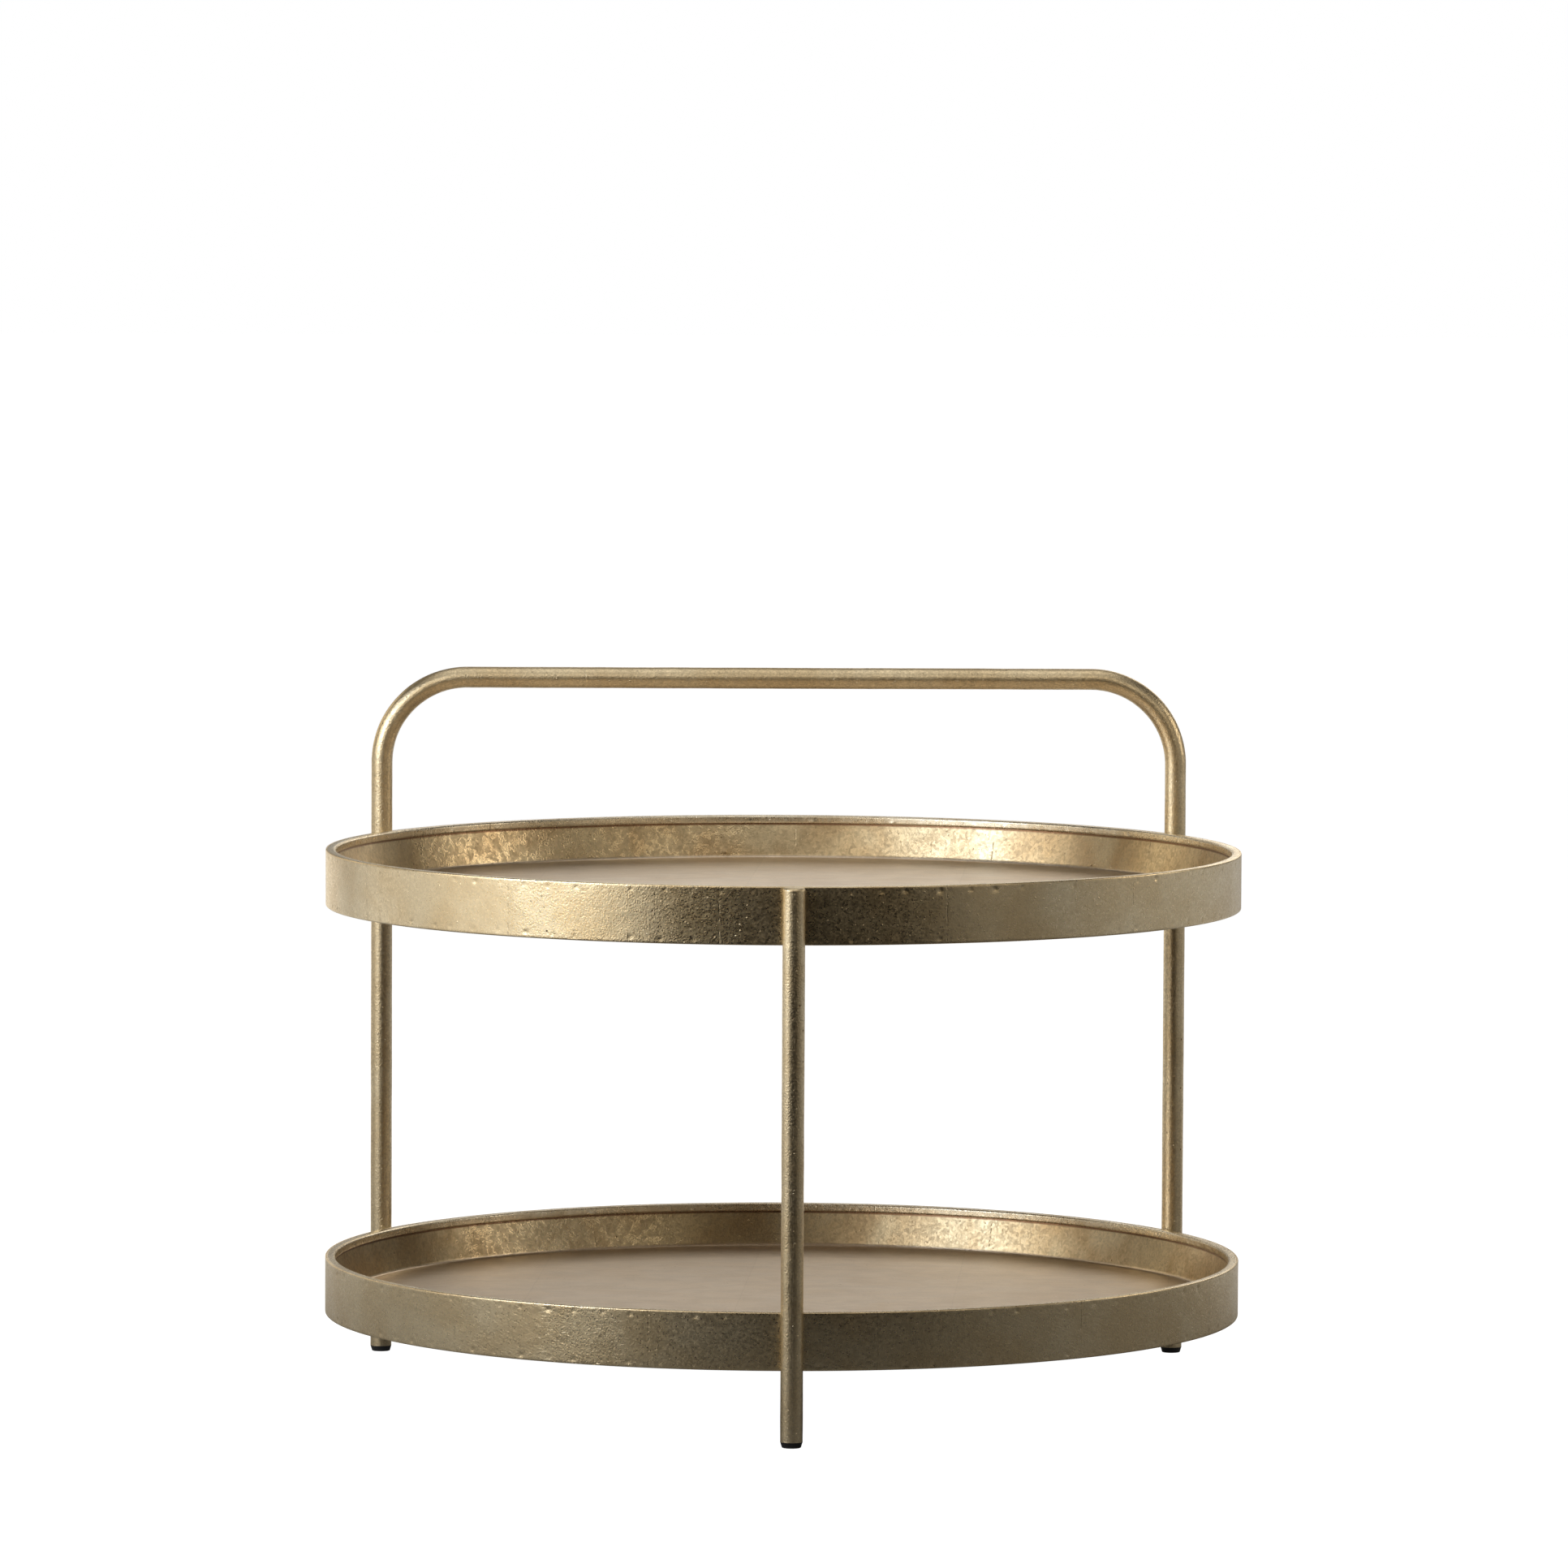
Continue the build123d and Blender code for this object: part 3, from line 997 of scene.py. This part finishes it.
@dataclass
class Tray:
    """One tray: band, rim bar, pan, and the ledge, brace and welds that hold them."""

    tier: Tier
    seed: int
    band_leaf: Material
    rim_leaf: Material
    pan_leaf: Material
    tube_leaf: Material
    paint: Material
    sector_steps: int = 112
    halvings: int = 4
    edge_round: float = 1.0 * MM
    lip_round: float = 1.6 * MM
    floor_inset: float = 6.0 * MM
    corner_round: float = 1.6 * MM
    groove: float = 0.25 * MM
    drip_pitch: float = 21 * MM
    face_row: float = 1.35 * MM
    top_tacks: float = 3.6 * MM
    bottom_tacks: float = 3.4 * MM
    bottom_dent: float = 0.5 * MM
    ledge_sheet: float = 1.5 * MM
    ledge_round: float = 0.6 * MM
    weld_rows: int = 40
    blobs: tuple[tuple[float, float, float, float], ...] = ()

    def node(self, part: str) -> str:
        """The CAD node of one of this tray's pieces."""
        return f"{self.tier.value}_{part}"

    def made(self, part: str, bm: BMesh, material: Material, slot: str) -> Object:
        """The leafed or painted piece that stands for one of this tray's nodes."""
        return stand_in(self.node(part), "leafed", bm, material)

    def turned(self, outline: Sequence[Point], coarser: int = 1) -> BMesh:
        """An outline turned about the tray's axis, with fewer steps where the piece hardly shows."""
        return turned(outline, TIER_CENTRE, self.sector_steps // coarser, self.halvings)

    def band(self) -> None:
        """The outer band, rounded along its outside edges, dented where it is tacked and gently wavy."""
        span = RingSpan.of(self.node("band"))
        r, g = self.edge_round, self.groove
        face = filled_in([(span.outer, span.low + r), (span.outer, span.high - r)], self.face_row)
        outline = [
            (span.inner, span.low + g),
            (span.inner + g, span.low),
            *arc((span.outer - r, span.low + r), r, -90, 0, 4)[:-1],
            *face,
            *arc((span.outer - r, span.high - r), r, 0, 90, 4)[1:],
            (span.inner + g, span.high),
            (span.inner, span.high - g),
        ]
        piece = self.made("band", self.turned(outline), self.band_leaf, "leafed_band")
        rng = np.random.default_rng(self.seed)
        rows = (
            DentRow(span.high - self.top_tacks),
            DentRow(span.low + self.bottom_tacks, depth=self.bottom_dent),
        )
        places, normals = surface_of(piece, TIER_CENTRE)
        outward = outward_from_axis(places)
        facing = np.clip((outward * normals).sum(axis=1), 0.0, 1.0)
        sunk = sum(row.depths(places, span.outer, rng) for row in rows)
        for depth, size, seed in ((0.12, 38, self.seed), (0.05, 9, self.seed + 1)):
            sunk += depth * MM * (1 + lumps(places, size * MM, seed))
        moved(piece, -outward * (sunk * facing)[:, None])

    def rim_bar(self) -> None:
        """The bar inside the band's top edge: its inner face is the lip, hand-filed and blobbed with size."""
        span = RingSpan.of(self.node("rim_bar"))
        r, g = self.lip_round, self.groove
        lip = filled_in([(span.inner, span.high - r), (span.inner, span.low + r)], 1.0 * MM)
        top = filled_in([(span.outer - g, span.high), (span.inner + r, span.high)], 1.2 * MM)
        outline = [
            (span.outer, span.low),
            (span.outer, span.high - g),
            *top,
            *arc((span.inner + r, span.high - r), r, 90, 180, 5)[1:-1],
            *lip,
            *arc((span.inner + r, span.low + r), r, 180, 270, 4)[1:],
        ]
        piece = self.made("rim_bar", self.turned(outline), self.rim_leaf, "leafed_rim")
        rng = np.random.default_rng(self.seed + 50)
        count = round(FULL_TURN * span.inner / self.drip_pitch)
        places, normals = surface_of(piece, TIER_CENTRE)
        outward = outward_from_axis(places)
        bearing = np.arctan2(places[:, 1], places[:, 0])
        inward = np.clip(-(outward * normals).sum(axis=1), 0.0, 1.0)
        upward = np.clip(normals[:, 2], 0.0, 1.0)
        below_edge = (places[:, 2] - span.low - 1.2 * MM) / (1.3 * MM)
        blob = np.zeros(len(places))
        for index in range(count):
            at = FULL_TURN * (index + rng.uniform(-0.2, 0.2)) / count - math.pi
            wide = rng.uniform(1.0, 2.4) * MM
            across = turned_past(bearing, at) * span.inner
            near = np.abs(across) < 4 * wide
            fall = np.exp(-((across[near] / wide) ** 2) - below_edge[near] ** 2)
            blob[near] += rng.choice((0.1, 0.2, 0.45)) * MM * fall
        uneven = lumps(places, 14 * MM, self.seed + 2) * 0.10 * MM
        uneven += lumps(places, 3 * MM, self.seed + 3) * 0.04 * MM
        move = -outward * ((blob + uneven) * inward)[:, None]
        moved(piece, move - np.outer(upward * (np.abs(uneven) + 0.02 * MM), (0, 0, 1)))

    def pan(self) -> None:
        """The pressed pan with its flat floor and sloping wall, uneven and blobbed on its upper side."""
        span, floor, mouth = pan_sizes(self.tier)
        sheet = floor - span.low
        floor_edge = mouth - self.floor_inset
        r = self.corner_round
        lean = math.degrees(math.atan2(span.high - floor, mouth - floor_edge))
        reach_in = r / math.tan(math.radians((180 - lean) / 2))
        bend = (floor_edge - reach_in, floor + r)
        inner_bend = arc(bend, r, -90, lean - 90, 5)
        outer_bend = arc(bend, r + sheet, lean - 90, -90, 5)
        outline = [
            *filled_in([(0.0, floor), inner_bend[0]], 9 * MM)[:-1],
            *inner_bend[:-1],
            *filled_in([inner_bend[-1], (mouth, span.high)], 2.2 * MM),
            (span.outer, span.high),
            *outer_bend,
            *filled_in([outer_bend[-1], (0.0, span.low)], 30 * MM)[1:],
        ]
        piece = self.made("pan", self.turned(outline, 2), self.pan_leaf, "leafed_pan")
        places, normals = surface_of(piece, TIER_CENTRE)
        uneven = lumps(places, 45 * MM, self.seed + 4) * 0.14 * MM
        uneven += lumps(places, 10 * MM, self.seed + 5) * 0.04 * MM
        bearing = np.arctan2(places[:, 1], places[:, 0])
        for turn, rise, wide, tall in self.blobs:
            across = (bearing - math.radians(turn)) * mouth
            away = np.hypot(across, places[:, 2] - floor - rise * MM) / (wide * MM)
            uneven += tall * MM * np.exp(-(away**2))
        facing_up = np.clip(normals[:, 2] * 6, 0.0, 1.0)
        inside = np.hypot(places[:, 0], places[:, 1]) < mouth - 0.5 * MM
        moved(piece, normals * (uneven * facing_up * inside)[:, None])

    def ledge(self) -> None:
        """The rolled angle under the pan's edge."""
        span = RingSpan.of(self.node("ledge"))
        thick, r = self.ledge_sheet, self.ledge_round
        inside = span.outer - thick
        outline = [
            (span.outer, span.low),
            (span.outer, span.high),
            (span.inner + r, span.high),
            *arc((span.inner + thick / 2, span.high - thick / 2), thick / 2, 90, 270, 5),
            *reversed(arc((inside - 2 * r, span.high - thick - 2 * r), 2 * r, 0, 90, 4)),
            (inside, span.low + r),
            *arc((inside + r, span.low + r), r, 180, 270, 3)[1:],
        ]
        self.made("ledge", self.turned(outline, 4), self.paint, "gilt_underside")

    def welds(self, legs: Sequence[Vector]) -> None:
        """The rippled beads between the legs and the band, filed and leafed over.

        Args:
            legs: A point on each leg's axis.
        """
        low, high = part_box(self.node("weld_beads"))
        radius = RingSpan.of(self.node("band")).outer
        side = [(-0.3, 5.6), (0.25, 5.1), (0.9, 4.75), (1.6, 4.55), (2.6, 4.8)]
        outline = [*side, (0.4, 0.0), *((x, -y) for x, y in reversed(side))]
        bm = bmesh.new()
        for leg in legs:
            away = Vector((leg.x - TIER_CENTRE.x, leg.y - TIER_CENTRE.y, 0)).normalized()
            along = Vector((-away.y, away.x, 0))
            foot = Vector((TIER_CENTRE.x, TIER_CENTRE.y, low.z)) + away * radius
            dots = [bm.verts.new(foot + (away * x + along * y) * MM) for x, y in outline]
            bottom = [bm.edges.new(pair) for pair in zip(dots, dots[1:] + dots[:1])]
            top = lengthened(bm, bottom, Vector((0, 0, high.z - low.z)), self.weld_rows)
            for end in (bottom, top):
                bmesh.ops.contextual_create(bm, geom=end)
        piece = self.made("weld_beads", bm, self.tube_leaf, "leafed_tube")
        places, normals = surface_of(piece, TIER_CENTRE)
        ripple = 0.22 * MM * np.sin(places[:, 2] / (2.3 * MM) * FULL_TURN)
        ripple += 0.25 * MM * lumps(places, 4 * MM, self.seed)
        moved(piece, normals * (1.0, 1.0, 0.0) * ripple[:, None])

    def brace(self) -> None:
        """The folded channel keeps its CAD shape and gets its paint."""
        dressed(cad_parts[self.node("brace")], self.paint)


# ---- legs and handle


@dataclass
class TubeFrame:
    """The front leg with its cap, the bent tube of rear legs and handle, and the three glides."""

    leaf: Material
    plastic: Material
    seed: int = 11
    sides: int = 56
    row: float = 2.6 * MM
    wall: float = 1.2 * MM
    clearance: float = 0.05 * MM
    bore_depth: float = 20 * MM
    bend: float = 62 * MM
    bend_steps: int = 36
    cap_round: float = 2.0 * MM
    tip_round: float = 0.8 * MM
    fins: int = 4

    def uneven(self, piece: Object, centre: Vector) -> None:
        """Gives a tube the slight lumps of leaf over filler.

        Args:
            piece: The tube.
            centre: Its axis, or any fixed point.
        """
        places, normals = surface_of(piece, centre)
        lift = lumps(places, 30 * MM, self.seed) * 0.10 * MM
        lift += lumps(places, 7 * MM, self.seed + 1) * 0.045 * MM
        moved(piece, normals * (lift - 0.05 * MM)[:, None])

    def front_leg(self) -> None:
        """The straight front leg, open at both ends."""
        centre = middle_of("front_leg")
        span = RingSpan.of("front_leg", centre)
        outline = filled_in([(span.outer, span.low), (span.outer, span.high)], self.row)
        outline += [(span.outer - self.wall, span.high), (span.outer - self.wall, span.low)]
        bm = turned(outline, centre, self.sides)
        self.uneven(stand_in("front_leg", "leafed", bm, self.leaf), centre)

    def cap(self) -> None:
        """The rounded cap on the front leg, with its spigot."""
        centre = middle_of("front_leg_cap")
        span = RingSpan.of("front_leg_cap", centre)
        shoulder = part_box("front_leg")[1].z
        spigot = span.outer - self.wall - self.clearance
        r = self.cap_round
        outline = [
            (0.0, span.low),
            (spigot - 0.5 * MM, span.low),
            (spigot, span.low + 0.5 * MM),
            (spigot, shoulder),
            (span.outer, shoulder),
            *arc((span.outer - r, span.high - r), r, 0, 84, 7),
            (0.0, span.high),
        ]
        stand_in("front_leg_cap", "leafed", turned(outline, centre, self.sides), self.leaf)

    def handle_frame(self) -> None:
        """Both rear legs and the handle over them, swept from one ring."""
        low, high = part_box("handle_frame")
        radius = (high.y - low.y) / 2
        top = high.z - radius
        left, right = low.x + radius, high.x - radius
        y = (low.y + high.y) / 2
        bm = bmesh.new()
        start = Matrix.Translation((left, y, low.z))
        bmesh.ops.create_circle(bm, cap_ends=False, segments=self.sides, radius=radius, matrix=start)
        loop = first = bm.edges[:]
        rise = top - self.bend - low.z
        loop = lengthened(bm, loop, Vector((0, 0, rise)), round(rise / self.row))
        loop = self.bent(bm, loop, (left + self.bend, y, top - self.bend))
        across = right - left - 2 * self.bend
        loop = lengthened(bm, loop, Vector((across, 0, 0)), round(across / self.row))
        loop = self.bent(bm, loop, (right - self.bend, y, top - self.bend))
        last = lengthened(bm, loop, Vector((0, 0, -rise)), round(rise / self.row))
        for end in (first, last):
            self.bored(bm, end)
        self.uneven(stand_in("handle_frame", "leafed", bm, self.leaf), Vector((0, y, 0)))

    def bent(self, bm: BMesh, loop: Edges, centre: Triple) -> Edges:
        """Carries the sweep round a quarter bend.

        Args:
            bm: The mesh.
            loop: The loop that is carried round.
            centre: The bend's centre.

        Returns:
            The edges of the loop at the bend's far end.
        """
        dots = list({dot for edge in loop for dot in edge.verts})
        swept = bmesh.ops.spin(
            bm, geom=dots + loop, cent=centre, axis=(0, 1, 0), dvec=(0, 0, 0),
            angle=math.pi / 2, steps=self.bend_steps, use_merge=False, use_duplicate=False,
        )
        return [item for item in swept["geom_last"] if isinstance(item, BMEdge)]

    def bored(self, bm: BMesh, loop: Edges) -> None:
        """Closes a tube's end with its wall and the start of its bore.

        Args:
            bm: The mesh.
            loop: The edges at the end.
        """
        face = bmesh.ops.contextual_create(bm, geom=loop)["faces"][0]
        bmesh.ops.inset_region(bm, faces=[face], thickness=self.wall, use_even_offset=True)
        grown = bmesh.ops.extrude_face_region(bm, geom=[face])["geom"]
        dots = [item for item in grown if isinstance(item, BMVert)]
        bmesh.ops.translate(bm, verts=dots, vec=(0, 0, self.bore_depth))
        if face.is_valid:
            bmesh.ops.delete(bm, geom=[face], context="FACES_ONLY")

    def foot(self, node: str) -> None:
        """A glide: a tapered tip as wide as the tube, and a finned plug in the bore.

        Args:
            node: The glide's CAD node.
        """
        centre = middle_of(node)
        span = RingSpan.of(node, centre)
        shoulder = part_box("front_leg")[0].z
        tip = span.outer - 1.0 * MM
        core = span.outer - 2.9 * MM
        plug = span.outer - self.wall - self.clearance
        r = self.tip_round
        outline = [
            (0.0, 0.4 * MM),
            (tip - 2.6 * MM, 0.4 * MM),
            (tip - 2.2 * MM, span.low),
            *arc((tip - r, span.low + r), r, -90, -8, 5),
            (span.outer - 0.15 * MM, shoulder - 0.35 * MM),
            (span.outer, shoulder - 0.2 * MM),
            (span.outer, shoulder),
        ]
        pitch = (span.high - shoulder) / self.fins
        for index in range(self.fins):
            top = shoulder + pitch * (index + 1)
            fin = ((core, 1.4), (plug, 1.1), (plug, 0.3), (core, 0.0))
            outline += [(core, top - pitch), *((reach, top - down * MM) for reach, down in fin)]
        outline.append((0.0, span.high))
        stand_in(node, "moulded", turned(outline, centre, self.sides), self.plastic)


# ---- the whole table


def main() -> None:
    """Builds the table and its studio."""
    logging.basicConfig(level=logging.INFO, format="%(name)s %(message)s")
    radius = RingSpan.of("upper_band").outer
    TableCamera().build(radius)
    Studio().build()
    feet = ("front_foot", "rear_right_foot", "rear_left_foot")
    tube_leaf = GoldLeaf(
        "tube_leaf", radius, smooth=0.37, worn=0.34, calm_share=1.0,
        wave_height=0.08 * MM, speck=5 * MM, flake_depth=0.22, seam_depth=0.1,
    ).build()
    rim_leaf = GoldLeaf(
        "rim_leaf", radius, pale=(0.86, 0.78, 0.62), deep=(0.75, 0.65, 0.48),
        grain_height=0.12 * MM, wave_height=0.2 * MM,
    ).build()
    paint = GiltPaint("gilt_paint").build()
    plastic = BlackPlastic("black_plastic").build()
    band_finishes = {
        Tier.UPPER: GoldLeaf("upper_band_leaf", radius, crinkled=(-37.0, -4.0), first_seam=-36.6),
        Tier.LOWER: GoldLeaf(
            "lower_band_leaf", radius, crinkled=(-30.0, -21.0), fade=25 * MM, first_seam=65.7,
            brush_height=0.10 * MM, speck_height=0.08 * MM, calm_share=0.6,
        ),
    }
    flaky_stretch = {Tier.UPPER: (-174.0, -122.0), Tier.LOWER: (-168.0, -132.0)}
    corner_blobs = {Tier.UPPER: ((96.6, 4.5, 1.9, 1.5), (97.9, 4.0, 1.3, 0.9)), Tier.LOWER: ()}
    for seed, tier in enumerate(Tier, start=1):
        span, floor, _ = pan_sizes(tier)
        pan_finish = PanLeaf(
            f"{tier.value}_pan_leaf", radius, pale=(0.84, 0.69, 0.44), deep=(0.66, 0.49, 0.28),
            flake=2.0 * MM, flake_depth=0.22, floor_level=floor, mouth_level=span.high,
            first_seam=149.5, smooth=0.30, island=6 * MM, island_gain=0.21, crinkled=flaky_stretch[tier],
        )
        tray = Tray(
            tier, seed * 10, band_finishes[tier].build(), rim_leaf, pan_finish.build(), tube_leaf, paint,
            blobs=corner_blobs[tier],
        )
        tray.band()
        tray.rim_bar()
        tray.pan()
        tray.ledge()
        tray.brace()
        tray.welds([middle_of(foot) for foot in feet])
    legs = TubeFrame(tube_leaf, plastic)
    legs.front_leg()
    legs.cap()
    legs.handle_frame()
    for foot in feet:
        legs.foot(foot)


if __name__ == "__main__":
    main()
